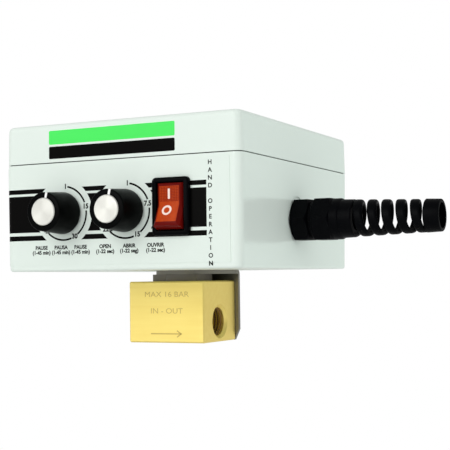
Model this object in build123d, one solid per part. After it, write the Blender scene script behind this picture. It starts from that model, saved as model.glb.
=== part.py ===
from build123d import *
from math import asin, atan, cos, degrees, radians, sin, sqrt, tan
import os

# Automatic drain valve: a timed solenoid valve with a brass body under a plastic control case.
# All sizes are in millimetres.
# Origin: axis of the inlet port, where its straight wall begins behind the mouth's chamfer.
# +X is the flow, from inlet to outlet. +Y points to the back. +Z points up.

# ---- Fits -----------------------------------------------------------------------------------
running_gap = 0.05       # radial, a shaft or pin that turns in its bore
slide_gap = 0.08         # radial, the plunger in its tube
close_gap = 0.03         # pieces pushed into each other by hand
pass_gap = 0.2           # a hole that a piece only passes through
rest_gap = 0.02          # a moving piece over the seat that it rests on

# ---- Valve body (brass) ---------------------------------------------------------------------
valve_length = 34.0
valve_depth = 28.3
valve_top_z = 16.4       # top face above the port axis
valve_bottom_z = -8.1
valve_edge = 0.5
port_radius = 5.7        # 1/4 inch pipe thread, inner diameter
port_wall_length = 9.0   # straight wall of each port
mouth_chamfer = 1.15
drill_tip_length = 3.2
riser_radius = 1.6
riser_offset = 5.4       # from the solenoid axis, towards the inlet
orifice_radius = 1.5
seat_radius = 3.0
seat_height = 1.5
chamber_radius = 8.6
chamber_depth = 9.4

# ---- Armature tube and core -----------------------------------------------------------------
bonnet_hex_flats = 21.0
bonnet_hex_height = 2.8
bonnet_turn = 26.0       # where the hexagon stops when it is tight, degrees
spigot_length = 6.0
tube_radius = 6.5
tube_bore_radius = 5.05
tube_top_margin = 1.8    # tube's end below the yoke's top face
o_ring_section = 0.85
o_ring_height = 3.4      # above the spigot's lower end
core_cap_thickness = 1.5
stud_radius = 3.0
stud_length = 9.0

# ---- Plunger --------------------------------------------------------------------------------
plunger_length = 30.0
plunger_stroke = 1.5
plunger_top_gap = 0.3    # left over at the end of the stroke
plunger_bore_radius = 3.2
plunger_bore_depth = 10.0
seal_radius = 3.6
seal_thickness = 3.0
seal_stand = 0.4         # seal stands out below the plunger
spring_radius = 2.4      # to the middle of the wire
spring_wire_radius = 0.3
spring_turns = 6

# ---- Coil, yoke and nut ---------------------------------------------------------------------
yoke_width = 36.0
yoke_depth = 22.0
yoke_height = 34.5
yoke_plate = 2.5
bobbin_flange_radius = 14.0
bobbin_flange = 1.5
bobbin_wall = 1.0
winding_radius = 13.2
coil_tab_length = 7.0
coil_tab_width = 2.8
coil_tab_thickness = 0.8
coil_tab_spread = 6.0
coil_washer_radius = 8.5
coil_washer_thickness = 1.0
coil_nut_flats = 10.0
coil_nut_height = 5.0

# ---- Bracket --------------------------------------------------------------------------------
bracket_thickness = 1.6
bracket_width = 37.2
bracket_nose_radius = 10.7
bracket_corner_width = 2.0
bracket_corner_height = 4.4
bracket_bend_radius = 1.9
bracket_screw_radius = 2.0
bracket_screw_depth = 6.0
bracket_screw_spread = 20.0
bracket_screw_z = 11.0
bracket_screw_head_radius = 3.8
bracket_screw_head_height = 2.4

# ---- Case -----------------------------------------------------------------------------------
case_width = 101.4
case_depth = 108.5
case_shift_x = 1.6       # case centre, from the solenoid axis
case_shift_y = 1.15
base_height = 41.0
base_draft = 0.9         # degrees; the front wall has none, so the knobs stand square
lid_height = 14.8
lid_draft = 0.6
lid_gap = 0.4            # the joint between base and lid, where the gasket shows
case_wall = 2.5
case_corner_radius = 3.4
base_edge_radius = 1.0
lid_edge_radius = 2.0
gasket_inset = 0.8
gasket_width = 1.0
gasket_groove = 1.2
post_inset = 6.8         # lid screw axis from the outside of the case
post_radius = 3.8
lid_screw_radius = 1.7
lid_screw_length = 15.0
lid_screw_head_radius = 3.0
lid_screw_head_height = 2.2
lid_counterbore_radius = 3.4
lid_counterbore_floor = 5.0   # plastic under the screw head

# ---- Printed film on the front ----------------------------------------------------------------
label_thickness = 0.2
label_margin = 1.2       # below the joint and above the bottom edge's rounding
label_wrap = 1.0         # past the left corner's rounding

# ---- Timer potentiometers and knobs -----------------------------------------------------------
knob_axis_z = 42.6
cycle_knob_x = -6.1
drain_knob_x = 21.1
pot_radius = 8.25
pot_depth = 9.0
pot_shell = 1.2
pot_wafer = 1.6
bushing_radius = 3.5
bushing_stand = 3.4      # past the film
shaft_radius = 3.0
shaft_stand = 11.0       # past the film
shaft_flat = 1.5
rotor_radius = 6.5
rotor_thickness = 1.2
pot_nut_flats = 10.0
pot_nut_thickness = 2.2
pin_radius = 0.45
pin_spread = 5.0
knob_radius = 8.0
knob_front_radius = 7.25
knob_lift = 0.6          # above the film
knob_height = 13.3       # from the film to the knob's front
knob_edge = 0.5
knob_hollow_radius = 6.4
knob_hollow_depth = 4.2
cap_radius = 5.1
cap_thickness = 0.8
cap_stand = 0.35
pointer_width = 0.9
pointer_depth = 0.4
pointer_turn = 7.0       # degrees clockwise of straight up, at the dial's first number

# ---- Rocker switch ----------------------------------------------------------------------------
switch_x = 40.65
switch_z = 43.4
bezel_width = 15.0
bezel_height = 21.0
bezel_stand = 2.0
bezel_corner = 1.6
switch_body_width = 13.0
switch_body_height = 19.0
switch_body_depth = 14.0
window_width = 11.2
window_height = 17.4
switch_floor = 2.0
rocker_width = 10.6
rocker_face_width = 8.2   # the sides and the ends lean in towards the face
rocker_face_length = 7.2
rocker_lean_depth = 1.3
rocker_reach = 8.45      # end arcs, from the pivot
rocker_half_angle = 12.0
rocker_ridge = 2.3       # pressed face, in front of the pivot
rocker_skirt = 3.0       # behind the pivot
rocker_wall = 1.3
pivot_radius = 1.1
pivot_length = 0.7
wing_stand = 0.5
wing_length = 3.5
terminal_width = 4.8
terminal_thickness = 0.8
terminal_length = 7.5
terminal_pitch = 6.5
lamp_radius = 1.6
lamp_length = 8.0

# ---- Circuit board ----------------------------------------------------------------------------
board_left_x = -22.0
board_right_x = 30.0
board_bottom_z = 25.0
board_top_z = 57.0
board_thickness = 1.6
board_margin = 1.5            # from the board's edge to a component
relay_size = (18.5, 10.2, 15.0)            # along X, along Z, out of the board
supply_capacitor_size = (18.0, 9.0, 13.0)
reservoir_radius = 4.0
reservoir_length = 12.0
chip_width = 19.3
chip_height = 6.4
chip_stand = 4.0
chip_lift = 0.8
chip_leg = 0.6
chip_leg_stand = 2.4
chip_pitch = 2.54
chip_legs = 7                 # in each row
block_width = 20.3
block_height = 8.5
block_stand = 10.0
block_poles = 4
block_screw_radius = 1.9
block_wire_hole = 3.2

# ---- Cable gland ------------------------------------------------------------------------------
gland_y = -1.85
gland_z = 39.5
gland_flats = 15.6
gland_hex_length = 7.3
gland_neck_radius = 7.0
gland_neck_length = 1.1
gland_thread_radius = 6.25
gland_thread_length = 8.0     # into the case, from the hexagon
gland_bore_radius = 4.9
gland_top_thread_radius = 6.1
gland_top_thread_length = 7.0
locknut_flats = 18.0
locknut_thickness = 3.0
seal_ring_thickness = 1.0
cable_radius = 3.25           # hole through the rubber seal
rubber_seal_length = 9.0
thread_end_gap = 0.2       # gland body's end to the step in the nut
gland_nut_flats = 15.8
gland_nut_length = 8.0
gland_shoulder_length = 3.1
gland_taper_length = 4.4
spiral_start_radius = 6.95
spiral_end_radius = 5.95
spiral_bore_radius = 4.8
spiral_pitch = 5.5
spiral_band = 3.9
spiral_wall = 1.5
spiral_turn = -140.0       # where the coil starts, from the back towards the top, degrees
spiral_length = 27.2
collar_length = 6.8
collar_rim_radius = 5.9

# ---- Places worked out from the sizes ---------------------------------------------------------
inlet_face_x = -mouth_chamfer
outlet_face_x = inlet_face_x + valve_length
outlet_mouth_x = outlet_face_x - mouth_chamfer
solenoid_x = (inlet_face_x + outlet_face_x) / 2
valve_back_y = valve_depth / 2
chamber_floor_z = valve_top_z - chamber_depth
seat_z = chamber_floor_z + seat_height
bracket_z = valve_top_z + bonnet_hex_height
case_bottom_z = bracket_z + bracket_thickness
case_floor_z = case_bottom_z + case_wall
parting_z = case_bottom_z + base_height
lid_bottom_z = parting_z + lid_gap
lid_top_z = lid_bottom_z + lid_height
case_x = solenoid_x + case_shift_x
case_y = case_shift_y
case_front_y = case_y - case_depth / 2
case_left_x = case_x - case_width / 2
case_right_x = case_x + case_width / 2
film_y = case_front_y - label_thickness
wall_in = -(label_thickness + case_wall)     # the wall's inner face, seen from the film
board_front = wall_in - pot_depth
yoke_top_z = case_floor_z + yoke_height
tube_top_z = yoke_top_z - tube_top_margin
coil_bottom_z = case_floor_z + yoke_plate
coil_height = yoke_height - 2 * yoke_plate
plunger_z = seat_z + rest_gap + seal_stand
plunger_top_z = plunger_z + plunger_length
core_z = plunger_top_z + plunger_stroke + plunger_top_gap
gland_seat_x = case_right_x - (parting_z - gland_z + gland_flats / 2) * tan(radians(base_draft)) - 0.05


# ---- Small helpers ----------------------------------------------------------------------------
def panel(x, z):
    # local z points out of the front film, local x to the right and local y up
    return Plane(origin=(x, film_y, z), x_dir=(1, 0, 0), z_dir=(0, -1, 0)).location


def gland_place(distance):
    # local z points along the gland, away from the case
    origin = (gland_seat_x + distance, gland_y, gland_z)
    return Plane(origin=origin, x_dir=(0, 1, 0), z_dir=(1, 0, 0)).location


def along_x(x, radius, length, y=0.0, z=0.0):
    return Plane(origin=(x, y, z), z_dir=(1, 0, 0)).location * rod(radius, length)


def rod(radius, length, start=0.0):
    return Pos(0, 0, start) * extrude(Circle(radius), amount=length)


def ring(outer, inner, length, start=0.0):
    return Pos(0, 0, start) * extrude(Circle(outer) - Circle(inner), amount=length)


def cone(low, high, length, start=0.0):
    profile = make_face(Polyline((0, start), (low, start), (high, start + length), (0, start + length), close=True))
    return revolve(Plane.XZ * profile, Axis.Z)


def tip(radius, length, start=0.0):
    profile = make_face(Polyline((0, start), (radius, start), (0, start + length), close=True))
    return revolve(Plane.XZ * profile, Axis.Z)


def hexagon(flats, length, start=0.0, turn=0.0):
    shape = RegularPolygon(flats / 2, 6, major_radius=False, rotation=turn)
    return Pos(0, 0, start) * extrude(shape, amount=length)


def upright_edges(block):
    return [edge for edge in block.edges() if edge.bounding_box().size.Z > block.bounding_box().size.Z / 2]


def case_block(inset, z, height, draft, upwards):
    # outer form of the case, or a copy of it set in by inset: drafted on three sides, straight in front
    spare = 6.0
    width = case_width - 2 * inset
    depth = case_depth - 2 * inset + spare
    outline = Pos(case_x, case_y - spare / 2, z) * Rectangle(width, depth)
    block = extrude(outline, amount=height, dir=(0, 0, 1 if upwards else -1), taper=draft)
    front = case_front_y + inset
    block -= Pos(case_x, front - 2 * spare, z) * Box(2 * width, 4 * spare, 4 * height)
    return fillet(upright_edges(block), case_corner_radius - inset)


def post_places():
    right = case_width / 2 - post_inset
    back = case_depth / 2 - post_inset
    return [(case_x + sx * right, case_y + sy * back) for sx in (-1, 1) for sy in (-1, 1)]


def corner_posts(z, height, body):
    # screw posts joined to the corners of the case
    posts = None
    for x, y in post_places():
        side_x = 1 if x > case_x else -1
        side_y = 1 if y > case_y else -1
        reach = post_inset
        post = Pos(x, y, z) * rod(post_radius, height)
        web_x = Pos(x + side_x * reach / 2, y, z + height / 2) * Box(reach, case_wall, height)
        web_y = Pos(x, y + side_y * reach / 2, z + height / 2) * Box(case_wall, reach, height)
        post = post + web_x + web_y
        posts = post if posts is None else posts + post
    return posts & body


def gasket_ring(height, z):
    outer = RectangleRounded(case_width - 2 * gasket_inset, case_depth - 2 * gasket_inset,
                             case_corner_radius - gasket_inset)
    far = gasket_inset + gasket_width
    inner = RectangleRounded(case_width - 2 * far, case_depth - 2 * far, case_corner_radius - far)
    return Pos(case_x, case_y, z) * extrude(outer - inner, amount=height)


# ---- Valve ------------------------------------------------------------------------------------
def port_cutter():
    # chamfered mouth, straight wall and drill tip, along local z from the mouth inwards
    mouth = cone(port_radius + mouth_chamfer, port_radius, mouth_chamfer, start=-mouth_chamfer)
    return mouth + rod(port_radius, port_wall_length) + tip(port_radius, drill_tip_length, port_wall_length)


def valve_body():
    height = valve_top_z - valve_bottom_z
    body = Pos(solenoid_x, 0, valve_bottom_z + height / 2) * Box(valve_length, valve_depth, height)
    body = chamfer(body.edges(), valve_edge)
    body -= Plane(origin=(0, 0, 0), z_dir=(1, 0, 0)).location * port_cutter()
    body -= Plane(origin=(outlet_mouth_x, 0, 0), z_dir=(-1, 0, 0)).location * port_cutter()
    chamber = rod(chamber_radius, chamber_depth) - rod(seat_radius, seat_height)
    body -= Pos(solenoid_x, 0, chamber_floor_z) * chamber
    body -= Pos(solenoid_x - riser_offset, 0, 0) * rod(riser_radius, chamber_floor_z + 0.1)
    body -= Pos(solenoid_x, 0, 0) * rod(orifice_radius, seat_z + 0.1)
    body -= along_x(solenoid_x - orifice_radius, orifice_radius, port_wall_length)
    for side in (-1, 1):
        x = solenoid_x + side * bracket_screw_spread / 2
        hole = rod(bracket_screw_radius + close_gap, bracket_screw_depth + 0.5)
        body -= Plane(origin=(x, valve_back_y, bracket_screw_z), z_dir=(0, -1, 0)).location * hole
    return body


def armature_tube():
    low = valve_top_z - spigot_length
    groove_z = low + o_ring_height
    spigot = rod(chamber_radius - close_gap, spigot_length, low)
    groove = ring(chamber_radius + 1, chamber_radius - 2 * o_ring_section - close_gap, 2.1 * o_ring_section,
                  groove_z - 1.05 * o_ring_section)
    tube = spigot - groove + hexagon(bonnet_hex_flats, bonnet_hex_height, valve_top_z, bonnet_turn)
    tube += rod(tube_radius, tube_top_z - valve_top_z, valve_top_z)
    tube -= rod(tube_bore_radius, tube_top_z - low + 2, low - 1)
    return Pos(solenoid_x, 0, 0) * tube


def stem_o_ring():
    height = valve_top_z - spigot_length + o_ring_height
    radius = chamber_radius - o_ring_section - close_gap
    return Pos(solenoid_x, 0, height) * Torus(radius, o_ring_section)


def fixed_core():
    core = rod(tube_bore_radius - close_gap, tube_top_z - core_z, core_z)
    core += rod(tube_radius, core_cap_thickness, tube_top_z)
    core += rod(stud_radius, stud_length, tube_top_z + core_cap_thickness)
    return Pos(solenoid_x, 0, 0) * core


def plunger():
    body = rod(tube_bore_radius - slide_gap, plunger_length, plunger_z)
    body -= rod(plunger_bore_radius, plunger_bore_depth + 1, plunger_top_z - plunger_bore_depth)
    recess = seal_thickness - seal_stand
    body -= rod(seal_radius + close_gap, recess + 1, plunger_z - 1)
    return Pos(solenoid_x, 0, 0) * body


def plunger_seal():
    return Pos(solenoid_x, 0, plunger_z - seal_stand) * rod(seal_radius, seal_thickness)


def plunger_spring():
    low = plunger_top_z - plunger_bore_depth + spring_wire_radius + rest_gap
    high = core_z - spring_wire_radius - rest_gap
    length = high - low
    path = Helix(pitch=length / spring_turns, height=length, radius=spring_radius)
    wire = sweep(Plane(origin=path @ 0, z_dir=path % 0) * Circle(spring_wire_radius), path=path, is_frenet=True)
    return Pos(solenoid_x, 0, low) * wire


# ---- Coil -------------------------------------------------------------------------------------
def coil_yoke():
    frame = Pos(0, 0, yoke_height / 2) * Box(yoke_width, yoke_depth, yoke_height)
    frame = fillet(frame.edges().filter_by(Axis.Y), yoke_plate)
    frame -= Pos(0, 0, yoke_height / 2) * Box(yoke_width - 2 * yoke_plate, yoke_depth + 2, coil_height)
    frame -= rod(tube_radius + pass_gap, yoke_height + 2, -1)
    return Pos(solenoid_x, 0, case_floor_z) * frame


def coil_bobbin():
    spool = ring(tube_radius + pass_gap + bobbin_wall, tube_radius + pass_gap, coil_height)
    flange = ring(bobbin_flange_radius, tube_radius + pass_gap, bobbin_flange)
    spool += flange
    spool += Pos(0, 0, coil_height - bobbin_flange) * flange
    shelf = Pos(0, -bobbin_flange_radius, bobbin_flange) * Box(2 * coil_tab_spread, 5, 2 * bobbin_flange)
    shelf -= rod(winding_radius + pass_gap, 3 * bobbin_flange, -0.5 * bobbin_flange)
    return Pos(solenoid_x, 0, coil_bottom_z) * (spool + shelf)


def coil_winding():
    height = coil_height - 2 * bobbin_flange
    winding = ring(winding_radius, tube_radius + pass_gap + bobbin_wall, height, bobbin_flange)
    return Pos(solenoid_x, 0, coil_bottom_z) * winding


def coil_terminals():
    front = -bobbin_flange_radius - 2.5
    blade = Box(coil_tab_width, coil_tab_length, coil_tab_thickness)
    z = coil_bottom_z + bobbin_flange
    places = [solenoid_x + side * coil_tab_spread / 2 for side in (-1, 1)]
    return Compound(children=[Pos(x, front - coil_tab_length / 2, z) * blade for x in places])


def coil_washer():
    washer = ring(coil_washer_radius, stud_radius + pass_gap, coil_washer_thickness, yoke_top_z)
    return Pos(solenoid_x, 0, 0) * washer


def coil_nut():
    z = yoke_top_z + coil_washer_thickness
    nut = hexagon(coil_nut_flats, coil_nut_height, z) - rod(stud_radius + close_gap, coil_nut_height + 2, z - 1)
    return Pos(solenoid_x, 0, 0) * nut


# ---- Bracket ----------------------------------------------------------------------------------
def mounting_bracket():
    # the top leg narrows to a round nose about the tube, the rear leg goes down behind the valve
    back = valve_back_y + bracket_thickness
    nose = Pos(solenoid_x, 0) * Circle(bracket_nose_radius)
    root = Pos(solenoid_x, back - bracket_thickness) * Rectangle(bracket_width, 2 * bracket_thickness)
    outline = make_hull(nose.edges() + root.edges())
    bracket = Pos(0, 0, bracket_z) * extrude(outline, amount=bracket_thickness)
    left = solenoid_x - bracket_width / 2
    right = solenoid_x + bracket_width / 2
    shoulder_z = valve_bottom_z + bracket_corner_height
    leg = Polyline((left, case_bottom_z), (left, shoulder_z), (left + bracket_corner_width, valve_bottom_z),
                   (right - bracket_corner_width, valve_bottom_z), (right, shoulder_z), (right, case_bottom_z),
                   close=True)
    bracket += Pos(0, back, 0) * extrude(Plane.XZ * make_face(leg), amount=bracket_thickness)
    bend = [edge for edge in bracket.edges().filter_by(Axis.X)
            if abs(edge.center().Y - back) < 0.01 and abs(edge.center().Z - case_bottom_z) < 0.01]
    bracket = fillet(bend, bracket_bend_radius)
    bracket -= Pos(solenoid_x, 0, bracket_z - 1) * rod(tube_radius + pass_gap, bracket_thickness + 2)
    for side in (-1, 1):
        x = solenoid_x + side * bracket_screw_spread / 2
        place = Plane(origin=(x, back + bracket_thickness, bracket_screw_z), z_dir=(0, -1, 0)).location
        bracket -= place * rod(bracket_screw_radius + pass_gap, 4 * bracket_thickness)
    return bracket


def bracket_screws():
    screws = []
    back = valve_back_y + bracket_thickness
    for side in (-1, 1):
        x = solenoid_x + side * bracket_screw_spread / 2
        head = fillet(rod(bracket_screw_head_radius, bracket_screw_head_height).edges().sort_by(Axis.Z)[-1:],
                      bracket_screw_head_height / 3)
        head -= cross_recess(bracket_screw_head_radius, bracket_screw_head_height)
        shank = rod(bracket_screw_radius, bracket_screw_depth + bracket_thickness,
                    -bracket_screw_depth - bracket_thickness)
        place = Plane(origin=(x, back, bracket_screw_z), z_dir=(0, 1, 0)).location
        screws.append(place * (head + shank))
    return Compound(children=screws)


def cross_recess(head_radius, head_height):
    depth = head_height / 2
    slot = Box(head_radius, head_radius / 4, depth)
    cross = slot + Rot(0, 0, 90) * slot
    return Pos(0, 0, head_height - depth / 2) * cross


# ---- Case -------------------------------------------------------------------------------------
def enclosure_base():
    body = case_block(0, parting_z, base_height, base_draft, upwards=False)
    bottom = body.faces().sort_by(Axis.Z)[0]
    body = fillet(bottom.edges(), base_edge_radius)
    shell = body - case_block(case_wall, parting_z, base_height - case_wall, base_draft, upwards=False)
    shell += corner_posts(case_floor_z, parting_z - case_floor_z, body)
    shell -= gasket_ring(gasket_groove + 1, parting_z - gasket_groove)
    shell -= Pos(solenoid_x, 0, case_bottom_z - 1) * rod(tube_radius + pass_gap, case_wall + 2)
    for x, y in post_places():
        pilot = rod(lid_screw_radius + close_gap, lid_screw_length, parting_z - lid_screw_length)
        shell -= Pos(x, y, 0) * pilot
    for x in (cycle_knob_x, drain_knob_x):
        shell -= panel(x, knob_axis_z) * rod(bushing_radius + pass_gap, 4 * case_wall, 2 * wall_in)
    cutout = Box(switch_body_width + 2 * pass_gap, switch_body_height + 2 * pass_gap, 6 * case_wall)
    shell -= panel(switch_x, switch_z) * cutout
    shell -= gland_place(-3 * case_wall) * rod(gland_thread_radius + pass_gap, 6 * case_wall)
    shell -= gland_place(0) * rod(gland_flats / sqrt(3) + pass_gap, 2 * case_wall)
    return shell


def enclosure_lid():
    body = case_block(0, lid_bottom_z, lid_height, lid_draft, upwards=True)
    top = body.faces().sort_by(Axis.Z)[-1]
    body = fillet(top.edges(), lid_edge_radius)
    shell = body - case_block(case_wall, lid_bottom_z, lid_height - case_wall, lid_draft, upwards=True)
    shell += corner_posts(lid_bottom_z, lid_height - case_wall, body)
    for x, y in post_places():
        through = rod(lid_screw_radius + pass_gap, lid_height + 2, lid_bottom_z - 1)
        head = rod(lid_counterbore_radius, lid_height, lid_bottom_z + lid_counterbore_floor)
        shell -= Pos(x, y, 0) * (through + head)
    return shell


def lid_gasket():
    return gasket_ring(gasket_groove + lid_gap, parting_z - gasket_groove)


def lid_screws():
    seat = lid_bottom_z + lid_counterbore_floor
    length = seat - parting_z + lid_screw_length - 1
    screws = []
    for x, y in post_places():
        head = fillet(rod(lid_screw_head_radius, lid_screw_head_height).edges().sort_by(Axis.Z)[-1:],
                      lid_screw_head_height / 3)
        head -= cross_recess(lid_screw_head_radius, lid_screw_head_height)
        screws.append(Pos(x, y, seat) * (head + rod(lid_screw_radius, length, -length)))
    return Compound(children=screws)


def front_label():
    height = base_height - base_edge_radius - 2 * label_margin
    low = case_bottom_z + base_edge_radius + label_margin
    film = case_block(-label_thickness, parting_z, base_height, base_draft, upwards=False)
    film -= case_block(0, parting_z, base_height, base_draft, upwards=False)
    left = case_left_x - 2
    right = case_right_x - case_corner_radius - label_wrap
    depth = case_corner_radius + label_wrap
    region = Box(right - left, depth + 2, height)
    film &= Pos((left + right) / 2, case_front_y + depth / 2 - 1, low + height / 2) * region
    for x in (cycle_knob_x, drain_knob_x):
        film -= panel(x, knob_axis_z) * rod(bushing_radius + pass_gap, 6, -3)
    film -= panel(switch_x, switch_z) * Box(switch_body_width + 2 * pass_gap, switch_body_height + 2 * pass_gap, 6)
    return film


# ---- Potentiometer and knob, along local z out of the film --------------------------------------
def pot_case():
    back = board_front + pot_wafer
    case = rod(pot_radius, wall_in - back, back)
    case += rod(bushing_radius, bushing_stand - wall_in, wall_in)
    case -= rod(pot_radius - pot_shell, wall_in - back - pot_shell, back)
    case -= rod(shaft_radius + running_gap, 40, -20)
    return case


def pot_wafer_plate():
    wafer = rod(pot_radius, pot_wafer, board_front)
    pin = rod(pin_radius, board_thickness + 1.2, board_front - board_thickness - 1.2)
    for side in (-1, 0, 1):
        wafer += Pos(side * pin_spread, -pin_spread, 0) * pin
    return wafer


def pot_nut():
    nut = hexagon(pot_nut_flats, pot_nut_thickness) - rod(bushing_radius + close_gap, 8, -2)
    return nut


def pot_shaft():
    start = board_front + pot_wafer + 1.0
    shaft = rod(shaft_radius, shaft_stand - start, start)
    shaft += rod(rotor_radius, rotor_thickness, start)
    flat = Box(4 * shaft_radius, 2 * shaft_flat, shaft_stand)
    shaft -= Pos(0, shaft_radius, knob_lift + knob_hollow_depth + shaft_stand / 2) * flat
    return shaft


def knob_body():
    low = knob_lift
    high = knob_height
    outline = Polyline((0, low), (knob_radius, low), (knob_radius, low + knob_edge),
                       (knob_front_radius, high - knob_edge), (knob_front_radius - knob_edge, high), (0, high),
                       close=True)
    knob = revolve(Plane.XZ * make_face(outline), Axis.Z)
    knob -= rod(knob_hollow_radius, knob_hollow_depth + 1, low - 1)
    knob -= rod(cap_radius + close_gap, cap_thickness + 1, high - cap_thickness)
    bore = rod(shaft_radius + close_gap, shaft_stand + close_gap)
    flat = Box(4 * shaft_radius, 2 * shaft_flat, 2 * shaft_stand)
    bore -= Pos(0, shaft_radius + close_gap, low + knob_hollow_depth + shaft_stand) * flat
    knob -= bore
    return knob - pointer_bar(0.0)


def pointer_bar(lift):
    inner = cap_radius + 0.2
    outer = knob_front_radius - knob_edge
    bar = Box(pointer_width, outer - inner, pointer_depth)
    place = Rot(0, 0, -pointer_turn) * Pos(0, (inner + outer) / 2, knob_height - pointer_depth / 2 + lift)
    return place * bar


def knob_cap():
    return chamfer(rod(cap_radius, cap_thickness + cap_stand, knob_height - cap_thickness).edges()
                   .sort_by(Axis.Z)[-1:], cap_stand * 0.8)


# ---- Rocker switch, along local z out of the film ------------------------------------------------
def rocker_section(reach, face, skirt):
    # side view across the pivot: one half lies parallel to the panel, the other is turned outwards
    pressed = asin(face / reach)
    raised = pressed + radians(2 * rocker_half_angle)
    low = -asin(skirt / reach)

    def rim(side, angle):
        return (side * reach * cos(angle), reach * sin(angle))

    upper_arc = ThreePointArc(rim(1, low), rim(1, (low + pressed) / 2), rim(1, pressed))
    lower_arc = ThreePointArc(rim(-1, raised), rim(-1, (low + raised) / 2), rim(-1, low))
    ridge = (face * tan(radians(rocker_half_angle)), face)
    faces = Polyline(rim(1, pressed), ridge, rim(-1, raised))
    return make_face([upper_arc, lower_arc, Line(rim(-1, low), rim(1, low))] + list(faces.edges()))


def rocker_half():
    # from the pivot upwards; the other half is its mirror image, turned outwards
    low = rocker_ridge - rocker_lean_depth
    length = rocker_reach + 1
    stem = Pos(0, length / 2, low - length / 2) * Box(rocker_width, length, length)
    base = Pos(0, length / 2, low) * Rectangle(rocker_width, length)
    face = Pos(0, rocker_face_length / 2, rocker_ridge) * Rectangle(rocker_face_width, rocker_face_length)
    return stem + loft([base.face(), face.face()])


def switch_rocker():
    raised = Rot(-2 * rocker_half_angle, 0, 0) * mirror(rocker_half(), Plane.XZ)
    low = rocker_ridge - rocker_lean_depth
    middle = Pos(0, 0, low - rocker_reach / 2) * Box(rocker_width, 2 * rocker_skirt, rocker_reach)
    outer = rocker_half() + raised + middle
    outer &= Rot(0, 90, 0) * rod(rocker_reach, 2 * rocker_width, -rocker_width)
    outer &= Pos(0, 0, rocker_reach - rocker_skirt) * Box(2 * rocker_width, 3 * rocker_reach, 2 * rocker_reach)
    face = rocker_ridge - rocker_wall
    room = extrude(Plane.YZ * rocker_section(rocker_reach - rocker_wall, face, rocker_skirt + 1),
                   amount=rocker_width / 2 - rocker_wall, both=True)
    rocker = outer - room
    for side in (-1, 1):
        start = side * rocker_width / 2
        place = Plane(origin=(start, 0, 0), z_dir=(side, 0, 0)).location
        rocker += place * rod(pivot_radius, pivot_length + rocker_wall / 2, -rocker_wall / 2)
    return rocker


def switch_housing():
    bezel = extrude(RectangleRounded(bezel_width, bezel_height, bezel_corner), amount=bezel_stand)
    bezel = fillet(bezel.faces().sort_by(Axis.Z)[-1].edges(), bezel_stand / 3)
    body = Pos(0, 0, -switch_body_depth / 2) * Box(switch_body_width, switch_body_height, switch_body_depth)
    housing = bezel + body
    for side in (-1, 1):
        start = wall_in - close_gap
        x = side * switch_body_width / 2
        wing = Polyline((x, start), (x + side * wing_stand, start), (x, start - wing_length), close=True)
        housing += extrude(Plane.XZ * make_face(wing), amount=switch_body_height / 6, both=True)
    depth = switch_body_depth - switch_floor + bezel_stand
    housing -= Pos(0, 0, bezel_stand - depth / 2 + 1) * Box(window_width, window_height, depth + 2)
    pocket = rocker_width / 2 + pivot_length + running_gap
    housing -= Pos(-pocket, 0, 0) * (Rot(0, 90, 0) * rod(pivot_radius + running_gap, 2 * pocket))
    return housing


def switch_terminals():
    blade = Box(terminal_width, terminal_thickness, terminal_length)
    z = -switch_body_depth - terminal_length / 2
    return Compound(children=[Pos(0, step * terminal_pitch, z) * blade for step in (-1, 0, 1)])


def switch_lamp():
    # lies on the housing's floor, under the rocker
    z = -switch_body_depth + switch_floor + lamp_radius
    bulb = fillet(rod(lamp_radius, lamp_length, -lamp_length / 2).edges(), lamp_radius / 2)
    return Pos(0, 0, z) * (Rot(90, 0, 0) * bulb)


# ---- Circuit board ----------------------------------------------------------------------------
def circuit_board():
    width = board_right_x - board_left_x
    height = board_top_z - board_bottom_z
    board = Pos(board_left_x + width / 2, board_y() + board_thickness / 2, board_bottom_z + height / 2) \
        * Box(width, board_thickness, height)
    for x in (cycle_knob_x, drain_knob_x):
        for step in (-1, 0, 1):
            hole = Pos(step * pin_spread, -pin_spread, 0) * rod(pin_radius + pass_gap, 6, board_front - 4)
            board -= panel(x, knob_axis_z) * hole
    return board


def board_y():
    return film_y - board_front


def on_board(x, z, size, lift=0.0):
    # a block behind the board, from its lower left corner
    width, height, stand = size
    back = board_y() + board_thickness + lift
    return Pos(x + width / 2, back + stand / 2, z + height / 2) * Box(width, stand, height)


def relay():
    body = on_board(board_left_x + board_margin, board_bottom_z + board_margin / 2, relay_size)
    return fillet(body.edges().filter_by(Axis.Y), board_margin / 2)


def supply_capacitor():
    top = board_top_z - board_margin - supply_capacitor_size[1]
    body = on_board(board_left_x + board_margin, top, supply_capacitor_size)
    return fillet(body.edges().filter_by(Axis.Y), board_margin / 2)


def timer_chip():
    left = board_left_x + 2 * board_margin + supply_capacitor_size[0]
    low = board_top_z - 2 * board_margin - chip_height
    chip = on_board(left, low, (chip_width, chip_height, chip_stand - chip_lift), chip_lift)
    first = left + (chip_width - (chip_legs - 1) * chip_pitch - chip_leg) / 2
    for row in (low - chip_leg, low + chip_height):
        for step in range(chip_legs):
            chip += on_board(first + step * chip_pitch, row, (chip_leg, chip_leg, chip_leg_stand))
    return chip


def reservoir_capacitor():
    x = board_right_x - reservoir_radius - board_margin / 2
    z = board_top_z - reservoir_radius - board_margin
    place = Plane(origin=(x, board_y() + board_thickness, z), z_dir=(0, 1, 0)).location
    return place * fillet(rod(reservoir_radius, reservoir_length).edges(), reservoir_radius / 8)


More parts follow.
